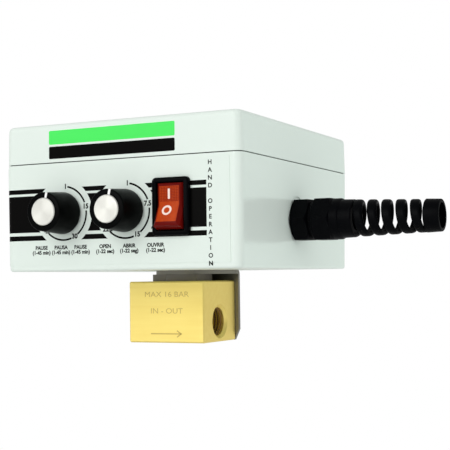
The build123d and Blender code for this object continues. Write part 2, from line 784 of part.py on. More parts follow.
def terminal_block():
    left = board_right_x - block_width - board_margin
    low = board_bottom_z + board_margin
    back = board_y() + board_thickness
    block = on_board(left, low, (block_width, block_height, block_stand))
    for step in range(block_poles):
        x = left + (step + 0.5) * block_width / block_poles
        screw = Plane(origin=(x, back + block_stand, low + 0.6 * block_height), z_dir=(0, -1, 0)).location
        block -= screw * rod(block_screw_radius, block_screw_radius)
        block -= Pos(x, back + block_stand / 3, low) * Box(block_wire_hole, block_wire_hole, block_height / 2)
    return block


# ---- Cable gland ------------------------------------------------------------------------------
def gland_body():
    neck_end = gland_hex_length + gland_neck_length
    body = hexagon(gland_flats, gland_hex_length) + rod(gland_thread_radius, gland_thread_length,
                                                        -gland_thread_length)
    body += rod(gland_neck_radius, gland_neck_length, gland_hex_length)
    body += rod(gland_top_thread_radius, gland_top_thread_length, neck_end)
    body -= rod(gland_bore_radius, 60, -20)
    return gland_place(0) * body


def inner_wall_distance(low_z):
    # from the gland's seat back to the wall's inner face, at the height where the wall is nearest
    wall_x = case_right_x - (parting_z - low_z) * tan(radians(base_draft)) - case_wall
    return gland_seat_x - wall_x


def gland_washer():
    distance = inner_wall_distance(gland_z - locknut_flats / 2) + close_gap
    washer = ring(locknut_flats / 2, gland_thread_radius + pass_gap, seal_ring_thickness)
    return gland_place(-distance - seal_ring_thickness) * washer


def gland_locknut():
    distance = inner_wall_distance(gland_z - locknut_flats / 2) + close_gap + seal_ring_thickness
    nut = hexagon(locknut_flats, locknut_thickness) - rod(gland_thread_radius + close_gap, 20, -10)
    return gland_place(-distance - locknut_thickness) * nut


def gland_seal():
    end = gland_hex_length + gland_neck_length + gland_top_thread_length
    return gland_place(end - rubber_seal_length) * ring(gland_bore_radius - close_gap, cable_radius,
                                                        rubber_seal_length)


def gland_nut():
    start = gland_hex_length + gland_neck_length
    shoulder = start + gland_nut_length
    taper = shoulder + gland_shoulder_length
    end = taper + gland_taper_length
    nut = hexagon(gland_nut_flats, gland_nut_length, start)
    nut = chamfer(nut.faces().sort_by(Axis.Z)[-1].edges(), 0.6)
    dome = rod(gland_nut_flats / 2, gland_shoulder_length, shoulder)
    dome = fillet(dome.edges().sort_by(Axis.Z)[-1:], 0.4)
    nut += dome + cone(gland_nut_flats / 2 - 0.4, spiral_start_radius + 0.1, gland_taper_length, taper)
    collar_start = end + spiral_length
    rim = rod(collar_rim_radius + 0.15, collar_length, collar_start)
    nut += fillet(rim.edges().sort_by(Axis.Z)[-1:], 0.8)
    nut -= rod(gland_top_thread_radius + close_gap, gland_top_thread_length + thread_end_gap + 1, start - 1)
    nut -= rod(spiral_bore_radius, 100, start)
    return gland_place(0) * (nut + spiral(end, collar_start))


def spiral(start, end):
    # flat band wound from the nut to the collar; its ends run into both
    bury = 0.4 * spiral_band
    slope = (spiral_start_radius - spiral_end_radius) / (end - start)
    path = Helix(pitch=spiral_pitch, height=end - start + 2 * bury, radius=spiral_start_radius - spiral_wall / 2,
                 cone_angle=-degrees(atan(slope)))
    section = Plane(origin=path @ 0, z_dir=path % 0, x_dir=(0, 0, 1)) \
        * RectangleRounded(spiral_band, spiral_wall, spiral_wall / 3)
    return Pos(0, 0, start - bury) * (Rot(0, 0, spiral_turn) * sweep(section, path=path, is_frenet=True))


# ---- Assembly ---------------------------------------------------------------------------------
def timer_control(name, x):
    place = panel(x, knob_axis_z)
    return {
        name + "_pot_case": place * pot_case(),
        name + "_pot_wafer": place * pot_wafer_plate(),
        name + "_pot_nut": place * pot_nut(),
        name + "_pot_shaft": place * pot_shaft(),
        name + "_knob": place * knob_body(),
        name + "_knob_cap": place * knob_cap(),
        name + "_knob_pointer": place * pointer_bar(0.0),
    }


def all_nodes():
    switch = panel(switch_x, switch_z)
    nodes = {
        "valve_body": valve_body(),
        "armature_tube": armature_tube(),
        "stem_o_ring": stem_o_ring(),
        "fixed_core": fixed_core(),
        "plunger": plunger(),
        "plunger_seal": plunger_seal(),
        "plunger_spring": plunger_spring(),
        "coil_yoke": coil_yoke(),
        "coil_bobbin": coil_bobbin(),
        "coil_winding": coil_winding(),
        "coil_terminals": coil_terminals(),
        "coil_washer": coil_washer(),
        "coil_nut": coil_nut(),
        "mounting_bracket": mounting_bracket(),
        "bracket_screws": bracket_screws(),
        "enclosure_base": enclosure_base(),
        "enclosure_lid": enclosure_lid(),
        "lid_gasket": lid_gasket(),
        "lid_screws": lid_screws(),
        "front_label": front_label(),
        "switch_housing": switch * switch_housing(),
        "switch_rocker": switch * switch_rocker(),
        "switch_terminals": switch * switch_terminals(),
        "switch_lamp": switch * switch_lamp(),
        "circuit_board": circuit_board(),
        "relay": relay(),
        "supply_capacitor": supply_capacitor(),
        "timer_chip": timer_chip(),
        "reservoir_capacitor": reservoir_capacitor(),
        "terminal_block": terminal_block(),
        "gland_body": gland_body(),
        "gland_washer": gland_washer(),
        "gland_locknut": gland_locknut(),
        "gland_seal": gland_seal(),
        "gland_nut": gland_nut(),
    }
    nodes.update(timer_control("cycle", cycle_knob_x))
    nodes.update(timer_control("drain", drain_knob_x))
    return nodes


os.makedirs("parts", exist_ok=True)
for node, shape in all_nodes().items():
    export_step(shape, "parts/" + node + ".step")
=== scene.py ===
import math
import bpy
from mathutils import Matrix, Vector


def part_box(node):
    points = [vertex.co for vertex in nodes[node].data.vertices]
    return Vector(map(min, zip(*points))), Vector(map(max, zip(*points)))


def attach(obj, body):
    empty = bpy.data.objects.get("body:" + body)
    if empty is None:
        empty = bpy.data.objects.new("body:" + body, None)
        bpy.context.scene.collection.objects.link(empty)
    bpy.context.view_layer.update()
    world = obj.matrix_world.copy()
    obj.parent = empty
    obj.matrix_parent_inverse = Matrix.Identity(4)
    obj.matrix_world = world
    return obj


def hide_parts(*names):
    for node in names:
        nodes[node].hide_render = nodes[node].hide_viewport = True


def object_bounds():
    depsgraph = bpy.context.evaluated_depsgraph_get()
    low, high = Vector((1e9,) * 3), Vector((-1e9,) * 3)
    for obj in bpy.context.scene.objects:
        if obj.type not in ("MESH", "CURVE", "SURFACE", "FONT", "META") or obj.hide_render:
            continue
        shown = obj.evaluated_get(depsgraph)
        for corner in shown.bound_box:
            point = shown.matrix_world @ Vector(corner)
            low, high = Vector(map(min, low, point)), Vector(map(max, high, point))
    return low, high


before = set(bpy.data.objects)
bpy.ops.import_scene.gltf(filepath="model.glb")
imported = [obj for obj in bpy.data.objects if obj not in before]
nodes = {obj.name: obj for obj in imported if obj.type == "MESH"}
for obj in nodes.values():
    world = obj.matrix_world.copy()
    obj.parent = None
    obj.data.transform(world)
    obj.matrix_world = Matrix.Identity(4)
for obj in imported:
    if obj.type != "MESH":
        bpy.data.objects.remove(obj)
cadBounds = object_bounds()
mm = 0.001    # the dictionaries give sizes in millimetres and angles in degrees
print("frame loaded:", len(nodes), "nodes")


cameraView = {
    "place": (234.05 * mm, -405.6 * mm, 17.15 * mm),
    "turn": 26.069,        # degrees to the left of +Y
    "tilt": 2.748,         # degrees upwards
    "roll": -0.731,
    "lens": 89.5,
    "sensor": 36,
    "nearest": 0.01,
}
studio = {
    "floorDrop": 110 * mm,  # the valve hangs on its pipe, clear of the floor
    "floorSize": 8.0,
    "floorNear": 0.22,     # the floor turns into plain white between these distances
    "floorFar": 0.4,
    "paperRoughness": 0.9,
    "paperCloud": 3.0,
    "paperTones": ((0.86, 0.86, 0.86), (0.9, 0.9, 0.9)),
    "worldStrength": 0.62,
    "reflectedStrength": 0.5,
    "seenStrength": 1.0,
    "lamps": (
        # name, place, aim, size, watts, colour, whether it shows in glossy surfaces
        ("keyLamp", (-0.25, -1.3, 0.55), (0.02, 0.0, 0.03), 0.9, 8.0, (1, 1, 1), True),
        ("fillLamp", (1.3, -0.5, 0.35), (0.02, 0.0, 0.03), 0.9, 2.0, (0.9, 1, 0.98), False),
        ("backLamp", (0.72, 1.2, 0.09), (0.05, 0.0, 0.04), 0.06, 6.0, (0.9, 1, 0.98), False),
    ),
}


def addCamera(view):
    turn, tilt, roll = (math.radians(view[key]) for key in ("turn", "tilt", "roll"))
    ahead = Vector((-math.sin(turn) * math.cos(tilt), math.cos(turn) * math.cos(tilt), math.sin(tilt)))
    right = Vector((math.cos(turn), math.sin(turn), 0))
    up = right.cross(ahead)
    rolledRight = right * math.cos(roll) + up * math.sin(roll)
    rolledUp = up * math.cos(roll) - right * math.sin(roll)
    bpy.ops.object.camera_add(location=view["place"])
    camera = bpy.context.object
    axes = Matrix((rolledRight, rolledUp, -ahead)).transposed()
    camera.matrix_world = Matrix.Translation(view["place"]) @ axes.to_4x4()
    camera.data.lens = view["lens"]
    camera.data.sensor_width = view["sensor"]
    camera.data.clip_start = view["nearest"]
    bpy.context.scene.camera = camera


def addLamps(lamps):
    for name, place, aim, size, watts, colour, glossy in lamps:
        bpy.ops.object.light_add(type="AREA", location=place)
        lamp = bpy.context.object
        lamp.name = name
        lamp.data.size = size
        lamp.data.energy = watts
        lamp.data.color = colour
        lamp.visible_glossy = glossy
        lamp.rotation_euler = (Vector(aim) - Vector(place)).to_track_quat("-Z", "Y").to_euler()


class Flow:
    # a socket's value, with ordinary maths on it
    def __init__(self, owner, socket):
        self.owner = owner
        self.socket = socket

    def maths(self, operation, first, second):
        return self.owner.maths(operation, first, second)

    def __add__(self, other):
        return self.maths("ADD", self, other)

    def __radd__(self, other):
        return self.maths("ADD", other, self)

    def __sub__(self, other):
        return self.maths("SUBTRACT", self, other)

    def __rsub__(self, other):
        return self.maths("SUBTRACT", other, self)

    def __mul__(self, other):
        return self.maths("MULTIPLY", self, other)

    def __rmul__(self, other):
        return self.maths("MULTIPLY", other, self)

    def __lt__(self, other):
        return self.maths("LESS_THAN", self, other)

    def __gt__(self, other):
        return self.maths("GREATER_THAN", self, other)


class Nodes:
    # the nodes of one material or of the world
    def __init__(self, tree):
        self.tree = tree

    def feed(self, socket, value):
        if isinstance(value, Flow):
            self.tree.links.new(value.socket, socket)
        elif socket.type == "RGBA" and len(value) == 3:
            socket.default_value = (*value, 1)
        else:
            socket.default_value = value

    def node(self, kind, settings, inputs, output=0):
        made = self.tree.nodes.new(kind)
        for key, value in settings.items():
            setattr(made, key, value)
        for key, value in inputs.items():
            self.feed(made.inputs[key], value)
        if made.outputs:
            return Flow(self, made.outputs[output])

    def maths(self, operation, first, second):
        return self.node("ShaderNodeMath", {"operation": operation}, {0: first, 1: second})

    def rays(self, *names):
        path = self.node("ShaderNodeLightPath", {}, {}).socket.node
        return [Flow(self, path.outputs[name]) for name in names]


class Finish(Nodes):
    # one material on its principled shader
    def __init__(self, name, **fixed):
        self.material = bpy.data.materials.new(name)
        self.material.use_nodes = True
        super().__init__(self.material.node_tree)
        self.shader = self.tree.nodes["Principled BSDF"]
        for key, value in fixed.items():
            self.set(key, value)

    def set(self, words, value):
        # words is the socket's name, with its words run together
        sockets = {socket.name.replace(" ", "").lower(): socket for socket in self.shader.inputs}
        self.feed(sockets[words], value)

    def step(self, value, start, end):
        # rises smoothly from 0 at start to 1 at end
        return self.node("ShaderNodeMapRange", {"interpolation_type": "SMOOTHSTEP"},
                         {"Value": value, "From Min": start, "From Max": end})

    def place(self, scale=(1, 1, 1)):
        spot = self.node("ShaderNodeTexCoord", {}, {}, "Object")
        if scale == (1, 1, 1):
            return spot
        return self.node("ShaderNodeMapping", {}, {"Vector": spot, "Scale": scale})

    def placeFrom(self, centre):
        return self.node("ShaderNodeMapping", {}, {"Vector": self.place(), "Location": centre})

    def along(self, axis, spot=None):
        return self.node("ShaderNodeSeparateXYZ", {}, {"Vector": spot or self.place()}, axis)

    def noise(self, scale, detail=2.0, roughness=0.5, stretch=(1, 1, 1)):
        return self.node("ShaderNodeTexNoise", {}, {"Vector": self.place(stretch), "Scale": scale,
                                                    "Detail": detail, "Roughness": roughness})

    def blend(self, factor, first, second):
        return self.node("ShaderNodeMix", {"data_type": "RGBA"}, {0: factor, 6: first, 7: second}, 2)

    def fadeToWhite(self, near, far):
        # past far, what the camera and reflections see is plain white
        away = self.node("ShaderNodeVectorMath", {"operation": "LENGTH"}, {"Vector": self.place()}, "Value")
        fade = self.node("ShaderNodeMapRange", {}, {"Value": away, "From Min": near, "From Max": far})
        camera, glossy, transmission = self.rays("Is Camera Ray", "Is Glossy Ray", "Is Transmission Ray")
        seen = camera + glossy + transmission
        white = self.node("ShaderNodeEmission", {}, {})
        mixed = self.node("ShaderNodeMixShader", {},
                          {0: fade * seen, 1: Flow(self, self.shader.outputs[0]), 2: white})
        self.feed(self.tree.nodes["Material Output"].inputs["Surface"], mixed)

    def bump(self, height, distance):
        self.set("normal", self.node("ShaderNodeBump", {}, {"Height": height, "Distance": distance,
                                                            "Strength": 1.0}))


def shade(colour, factor):
    return tuple(min(1.0, part * factor) for part in colour)


def around(value, spread):
    # how far a noise of 0 to 1 moves a value to either side
    return (value - 0.5) * spread


plasticLook = {
    "driftScale": 22.0,
    "driftDetail": 3.0,
    "driftGloss": 0.12,    # how far the roughness follows the drift and the fine grain
    "fineGloss": 0.08,
}


def mouldedPlastic(name, colour, roughness, grain=1400.0, depth=0.02, vary=0.03, **fixed):
    # moulded surface: a fine grain, and tone and gloss that drift a little over the piece
    look = plasticLook
    finish = Finish(name, **fixed)
    drift = finish.noise(look["driftScale"], look["driftDetail"])
    finish.set("basecolor", finish.blend(drift, shade(colour, 1 - vary), shade(colour, 1 + vary)))
    fine = finish.noise(grain)
    finish.set("roughness", roughness + around(drift, look["driftGloss"]) + around(fine, look["fineGloss"]))
    finish.bump(fine, depth * mm)
    return finish


metalLook = {
    "scratchDetail": 3.0,
    "scratchRoughness": 0.6,
    "scratchDepth": 0.004,
    "scratchGloss": 0.25,
    "scratchTone": 0.5,
    "cloudScale": 60.0,
    "cloudDetail": 3.0,
    "cloudTone": 0.6,
}


def brushedMetal(name, colour, roughness, stretch=(1, 1, 1), grain=900.0, stain=0.1):
    # fine scratches along one direction over a slow change of tone
    look = metalLook
    finish = Finish(name, metallic=1.0)
    scratches = finish.noise(grain, look["scratchDetail"], look["scratchRoughness"], stretch)
    cloud = finish.noise(look["cloudScale"], look["cloudDetail"])
    tone = around(scratches, look["scratchTone"]) + around(cloud, look["cloudTone"]) + 0.5
    finish.set("basecolor", finish.blend(tone, shade(colour, 1 - stain), shade(colour, 1 + stain)))
    finish.set("roughness", roughness + around(scratches, look["scratchGloss"]))
    finish.bump(scratches, look["scratchDepth"] * mm)
    return finish


brassLook = {
    "lineScale": 520.0,
    "lineDetail": 3.0,
    "noiseRoughness": 0.6,
    "lineStretch": (0.05, 1, 1),
    "lineShare": 0.4,
    "lineColour": (0.84, 0.64, 0.18),
    "lineGloss": 0.16,
    "lineDepth": 0.006,
    "cloudScale": 45.0,
    "cloudDetail": 4.0,
    "cloudGloss": 0.1,
    "tones": ((0.99, 0.82, 0.275), (0.96, 0.78, 0.24)),
    "roughness": 0.52,
}


def machinedBrass(look):
    # planed bar: faint cutter lines along the flow and a warm cast that deepens in patches
    finish = Finish("machinedBrass", metallic=1.0)
    lines = finish.noise(look["lineScale"], look["lineDetail"], look["noiseRoughness"], look["lineStretch"])
    cloud = finish.noise(look["cloudScale"], look["cloudDetail"], look["noiseRoughness"])
    warm = finish.blend(cloud, *look["tones"])
    finish.set("basecolor", finish.blend(lines * look["lineShare"], warm, look["lineColour"]))
    gloss = around(lines, look["lineGloss"]) + around(cloud, look["cloudGloss"])
    finish.set("roughness", look["roughness"] + gloss)
    finish.bump(lines, look["lineDepth"] * mm)
    return finish


discLook = {
    "metal": 0.9,
    "ringScale": 900.0,
    "ringWobble": 0.4,
    "ringDetail": 1.0,
    "ringGloss": 0.1,
    "ringDepth": 0.02,
    "cloudScale": 300.0,
    "tones": ((0.70, 0.70, 0.65), (0.79, 0.79, 0.73)),
    "roughness": 0.42,
}


def turnedDisc(name, centre, look):
    # face-turned aluminium: fine rings about the knob's axis, which give its two-sided sheen
    finish = Finish(name, metallic=look["metal"])
    rings = finish.node("ShaderNodeTexWave", {"wave_type": "RINGS", "rings_direction": "Y"},
                        {"Vector": finish.placeFrom(centre), "Scale": look["ringScale"],
                         "Distortion": look["ringWobble"], "Detail": look["ringDetail"]})
    cloud = finish.noise(look["cloudScale"])
    finish.set("basecolor", finish.blend(cloud, *look["tones"]))
    finish.set("roughness", look["roughness"] + around(rings, look["ringGloss"]))
    finish.bump(rings, look["ringDepth"] * mm)
    return finish


redLook = {
    "shine": 0.06,
    "edge": (3.4, 4.9),    # where the painted shade starts to deepen the red and is deepest, from the middle
    "fleckScale": 420.0,
    "fleckDetail": 3.0,
    "fleckGloss": 0.15,
    "fleckDepth": 0.02,
    "tones": ((0.37, 0.032, 0.003), (0.50, 0.062, 0.005)),
    # the deep red of the painted shade at the rims
    "rimTone": (0.16, 0.003, 0.002),
    "glow": 0.12,
    "roughness": 0.28,
}


def litRed(centre, look):
    # translucent red plastic over a lamp: bright orange at the middle, with painted shade that deepens it to
    # deep red at its rims
    finish = Finish("litRed", speculariorlevel=look["shine"])
    sideways = finish.along("X", finish.placeFrom(centre))
    across = finish.node("ShaderNodeMath", {"operation": "ABSOLUTE"}, {0: sideways})
    start, end = look["edge"]
    # painted shade, rising towards the rims
    edge = finish.step(across, start * mm, end * mm)
    fleck = finish.noise(look["fleckScale"], look["fleckDetail"])
    tone = finish.blend(edge, finish.blend(fleck, *look["tones"]), look["rimTone"])
    finish.set("basecolor", tone)
    finish.set("emissioncolor", tone)
    finish.set("emissionstrength", look["glow"])
    finish.set("roughness", look["roughness"] + around(fleck, look["fleckGloss"]))
    finish.bump(fleck, look["fleckDepth"] * mm)
    return finish


dialHeight = 42.6
dialX = {"cycle": -6.1, "drain": 21.1}

filmPrint = {
    "bands": ((32.55, 34.45), (35.67, 49.71), (50.59, 52.34)),
    "rightEnd": 54.52,
    "clearRadius": 12.7,
    "shine": 0.03,
    "plainShades": (0.99, 1.01),
    "inkShades": (0.7, 1.5),
    "roughness": 0.36,
    "driftGloss": 0.1,
    "fineScale": 2600.0,
    "fineGloss": 0.06,
    "fineDepth": 0.004,
}


def printedFilm(look):
    # satin film: black bands along the front and round its left corner, left clear round each dial
    finish = Finish("printedFilm", speculariorlevel=look["shine"])
    across = finish.along("X")
    upwards = finish.along("Z")
    bands = 0.0
    for low, high in look["bands"]:
        bands = bands + (upwards > low * mm) * (upwards < high * mm)
    for x in dialX.values():
        sideways, height = across - x * mm, upwards - dialHeight * mm
        bands = bands * ((sideways * sideways + height * height) > (look["clearRadius"] * mm) ** 2)
    bands = bands * (across < look["rightEnd"] * mm)
    drift = finish.noise(plasticLook["driftScale"], plasticLook["driftDetail"])
    fine = finish.noise(look["fineScale"])
    plain = finish.blend(drift, *(shade(palette["case"], factor) for factor in look["plainShades"]))
    inked = finish.blend(drift, *(shade(palette["ink"], factor) for factor in look["inkShades"]))
    finish.set("basecolor", finish.blend(bands, plain, inked))
    gloss = around(drift, look["driftGloss"]) + around(fine, look["fineGloss"])
    finish.set("roughness", look["roughness"] + gloss)
    finish.bump(fine, look["fineDepth"] * mm)
    return finish


copperLook = {
    "metal": 0.8,
    "turnScale": 800.0,
    "tones": ((0.35, 0.1, 0.03), (0.68, 0.28, 0.1)),
    "roughness": 0.3,
    "turnGloss": 0.2,
    "turnDepth": 0.1,
}


def copperWinding(look):
    finish = Finish("copperWinding", metallic=look["metal"])
    turns = finish.node("ShaderNodeTexWave", {"bands_direction": "Z"},
                        {"Vector": finish.place(), "Scale": look["turnScale"]})
    finish.set("basecolor", finish.blend(turns, *look["tones"]))
    finish.set("roughness", look["roughness"] + turns * look["turnGloss"])
    finish.bump(turns, look["turnDepth"] * mm)
    return finish


boardLook = {
    "coat": 0.3,
    "trackScale": 160.0,
    "trackWidth": 0.06,
    "trackShare": 0.6,
    "trackTone": (0.05, 0.3, 0.1),
    "cloudScale": 120.0,
    "tones": ((0.01, 0.11, 0.04), (0.02, 0.16, 0.06)),
    "roughness": 0.35,
    "cloudGloss": 0.1,
}


def circuitGreen(look):
    # solder mask with copper tracks showing through
    finish = Finish("circuitGreen", coatweight=look["coat"])
    tracks = finish.node("ShaderNodeTexBrick", {"offset": 0.5},
                         {"Vector": finish.place(), "Scale": look["trackScale"],
                          "Mortar Size": look["trackWidth"]}, "Fac")
    cloud = finish.noise(look["cloudScale"])
    base = finish.blend(cloud, *look["tones"])
    finish.set("basecolor", finish.blend(tracks * look["trackShare"], base, look["trackTone"]))
    finish.set("roughness", look["roughness"] + around(cloud, look["cloudGloss"]))
    return finish


palette = {
    "case": (0.755, 0.835, 0.775),
    "ink": (0.0022, 0.0021, 0.0019),
    "knob": (0.0009, 0.0012, 0.0012),
    "nylon": (0.0011, 0.0013, 0.0019),
    "rubber": (0.02, 0.02, 0.02),
    "steel": (0.17, 0.16, 0.14),
    "bracket": (0.245, 0.235, 0.205),
    "zinc": (0.62, 0.62, 0.60),
    "white": (0.90, 0.90, 0.88),
    "blush": (0.92, 0.74, 0.66),
    "green": (0.07, 0.84, 0.12),
    "etched": (0.58, 0.44, 0.14),
    # painted shade: dark brass for the thread inside each port
    "bore": (0.2, 0.115, 0.035),
    # painted shade: the deeper red of the rocker's ribs
    "litRib": (0.26, 0.015, 0.002),
    # painted shade: the deeper red of the rocker's leaning sides and ends
    "litEdge": (0.13, 0.003, 0.0015),
    "phenolic": (0.25, 0.12, 0.05),
    "packageBlack": (0.02, 0.02, 0.02),
    "caseBlue": (0.02, 0.08, 0.3),
    "caseYellow": (0.65, 0.4, 0.03),
    "terminalGreen": (0.02, 0.2, 0.05),
    "glass": (0.9, 0.85, 0.8),
}
blackShine = {"vary": 0.3, "speculariorlevel": 0.03}
softShine = {"vary": 0.3, "speculariorlevel": 0.035}
plastics = {
    # the material's name, its colour in the palette, its roughness, and what else it sets
    "case": ("casePlastic", "case", 0.42, {"vary": 0.012, "speculariorlevel": 0.3}),
    "ink": ("blackInk", "ink", 0.45, {"grain": 2600.0, "depth": 0.004, **blackShine}),
    "green": ("greenInk", "green", 0.5, {"grain": 2600.0, "depth": 0.004, "vary": 0.06,
                                         "speculariorlevel": 0.2}),
    "knob": ("knobBlack", "knob", 0.32, {"grain": 700.0, "depth": 0.01, **softShine}),
    "white": ("whiteMark", "white", 0.4, {"depth": 0.005}),
    "blush": ("blushMark", "blush", 0.4, {"depth": 0.005}),
    "switchBlack": ("switchBlack", "nylon", 0.34, {"grain": 1800.0, "depth": 0.01, **blackShine}),
    "nylon": ("blackNylon", "nylon", 0.4, {"grain": 800.0, **softShine}),
    "rubber": ("blackRubber", "rubber", 0.7, {"grain": 900.0, "vary": 0.2}),
    # the ribs' deeper red is painted shade of the grid's grooves
    "litRib": ("litRib", "litRib", 0.35, {"vary": 0.1, "speculariorlevel": 0.06}),
    # a darker copy of the rocker's red, painted shade on its leaning sides and ends
    "litEdge": ("litEdge", "litEdge", 0.3, {"grain": 500.0, "vary": 0.35, "speculariorlevel": 0.06}),
    "phenolic": ("phenolic", "phenolic", 0.5, {"vary": 0.15}),
    "packageBlack": ("packageBlack", "packageBlack", 0.5, {"vary": 0.2}),
    "caseBlue": ("caseBlue", "caseBlue", 0.35, {"vary": 0.1}),
    "caseYellow": ("caseYellow", "caseYellow", 0.35, {"vary": 0.1}),
    "terminalGreen": ("terminalGreen", "terminalGreen", 0.45, {"vary": 0.1}),
    "glass": ("lampGlass", "glass", 0.08, {"vary": 0.02, "transmissionweight": 0.9}),
}
brushedAlong = {"stretch": (0.03, 1, 1), "grain": 700.0, "stain": 0.25}
metals = {
    "steel": ("brushedSteel", "steel", 0.48, brushedAlong),
    "bracket": ("bracketSteel", "bracket", 0.48, brushedAlong),
    "zinc": ("zincSteel", "zinc", 0.32, {"grain": 260.0}),
    "etched": ("etchedBrass", "etched", 0.55, {}),
    # the port threads' dark brass is painted shade
    "bore": ("boreBrass", "bore", 0.45, {}),
}


def centredOn(node):
    # the shift that brings a node's middle to the origin
    return tuple(-(low + high) / 2 for low, high in zip(*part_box(node)))


def makeFinishes():
    made = {}
    for table, maker in ((plastics, mouldedPlastic), (metals, brushedMetal)):
        for key, (name, colour, roughness, extra) in table.items():
            made[key] = maker(name, palette[colour], roughness, **extra)
    for dial in dialX:
        made[dial + "Cap"] = turnedDisc(dial + "Cap", centredOn(dial + "_knob_cap"), discLook)
    made["film"] = printedFilm(filmPrint)
    made["brass"] = machinedBrass(brassLook)
    made["litRed"] = litRed(centredOn("switch_housing"), redLook)
    made["copper"] = copperWinding(copperLook)
    made["board"] = circuitGreen(boardLook)
    return made


nodeFinish = {
    "valve_body": "brass", "armature_tube": "steel", "stem_o_ring": "rubber", "fixed_core": "steel",
    "plunger": "steel", "plunger_seal": "rubber", "plunger_spring": "steel", "coil_yoke": "zinc",
    "coil_bobbin": "packageBlack", "coil_winding": "copper", "coil_terminals": "zinc", "coil_washer": "zinc",
    "coil_nut": "zinc", "mounting_bracket": "bracket", "bracket_screws": "zinc", "enclosure_base": "case",
    "enclosure_lid": "case", "lid_gasket": "rubber", "lid_screws": "zinc", "front_label": "film",
    "switch_housing": "switchBlack", "switch_rocker": "litRed", "switch_terminals": "zinc",
    "switch_lamp": "glass", "circuit_board": "board", "relay": "caseBlue", "supply_capacitor": "caseYellow",
    "timer_chip": "packageBlack", "reservoir_capacitor": "packageBlack", "terminal_block": "terminalGreen",
    "gland_body": "nylon", "gland_washer": "rubber", "gland_locknut": "nylon", "gland_seal": "rubber",
    "gland_nut": "nylon",
}
for dial in dialX:
    nodeFinish.update({
        dial + "_pot_case": "zinc", dial + "_pot_wafer": "phenolic", dial + "_pot_nut": "zinc",
        dial + "_pot_shaft": "zinc", dial + "_knob": "knob", dial + "_knob_cap": dial + "Cap",
        dial + "_knob_pointer": "white",
    })


def paintNodes(finishes):
    for name, finish in nodeFinish.items():
        for slot in nodes[name].material_slots:
            slot.material = finishes[finish].material


def addFloor():
    lowest = cadBounds[0][2] - studio["floorDrop"]
    bpy.ops.mesh.primitive_plane_add(size=studio["floorSize"], location=(0, 0, lowest))
    floor = bpy.context.object
    floor.name = "floor"
    paper = Finish("paper", roughness=studio["paperRoughness"])
    paper.set("basecolor", paper.blend(paper.noise(studio["paperCloud"]), *studio["paperTones"]))
    paper.fadeToWhite(studio["floorNear"], studio["floorFar"])
    floor.data.materials.append(paper.material)


def lightWorld():
    world = bpy.data.worlds.new("studioWorld")
    bpy.context.scene.world = world
    world.use_nodes = True
    world.node_tree.nodes.clear()
    sky = Nodes(world.node_tree)
    camera, glossy, transmission = sky.rays("Is Camera Ray", "Is Glossy Ray", "Is Transmission Ray")
    dimmed = sky.node("ShaderNodeMapRange", {}, {"Value": glossy, "To Min": studio["worldStrength"],
                                                 "To Max": studio["reflectedStrength"]})
    white = (1, 1, 1)
    light = sky.node("ShaderNodeBackground", {}, {"Color": white, "Strength": dimmed})
    seen = sky.node("ShaderNodeBackground", {}, {"Color": white, "Strength": studio["seenStrength"]})
    mixed = sky.node("ShaderNodeMixShader", {},
                     {0: sky.maths("MAXIMUM", camera, transmission), 1: light, 2: seen})
    sky.node("ShaderNodeOutputWorld", {}, {"Surface": mixed})


softenAngle = 35     # edges that are sharper than this are rounded
square = 0.9         # a normal or an edge this far along an axis counts as lying on it
near = 0.01          # how close to a plane counts as on it
mergeGap = 0.001
through = 5          # how far a cutting tool stands past what it cuts


def deselectAll():
    bpy.ops.object.select_all(action="DESELECT")


def only(piece):
    deselectAll()
    piece.select_set(True)
    bpy.context.view_layer.objects.active = piece


def objectMode():
    if bpy.context.object and bpy.context.object.mode != "OBJECT":
        bpy.ops.object.mode_set(mode="OBJECT")


def settle(piece):
    # leaves the object at the origin, unturned and unscaled
    objectMode()
    only(piece)
    bpy.ops.object.transform_apply(location=True, rotation=True, scale=True)
    return piece


def stand(piece, place, turn=(0, 0, 0)):
    piece.location = Vector(place) * mm
    piece.rotation_euler = [math.radians(angle) for angle in turn]
    return settle(piece)


def block(low, high):
    # a box from its lowest to its highest corner
    low, high = Vector(low) * mm, Vector(high) * mm
    deselectAll()
    bpy.ops.mesh.primitive_cube_add(size=1, location=(low + high) / 2, scale=high - low)
    return settle(bpy.context.object)


def sheet(width, height):
    deselectAll()
    bpy.ops.mesh.primitive_plane_add(size=1)
    bpy.context.object.scale = (width * mm, height * mm, 1)
    return settle(bpy.context.object)


def pick(piece, kind, test):
    # opens the piece in edit mode, with the faces or edges that pass the test selected
    only(piece)
    bpy.ops.object.mode_set(mode="EDIT")
    bpy.ops.mesh.select_mode(type=kind)
    bpy.ops.mesh.select_all(action="DESELECT")
    bpy.ops.object.mode_set(mode="OBJECT")
    mesh = piece.data
    if kind == "FACE":
        for face in mesh.polygons:
            face.select = test(face.center / mm, face.normal)
    else:
        for edge in mesh.edges:
            first, second = (mesh.vertices[index].co / mm for index in edge.vertices)
            edge.select = test((first + second) / 2, (second - first).normalized())
    bpy.ops.object.mode_set(mode="EDIT")


def bevelEdges(piece, test, width, segments=3):
    pick(piece, "EDGE", test)
    bpy.ops.mesh.bevel(offset=width * mm, segments=segments, affect="EDGES")
    objectMode()
    return piece


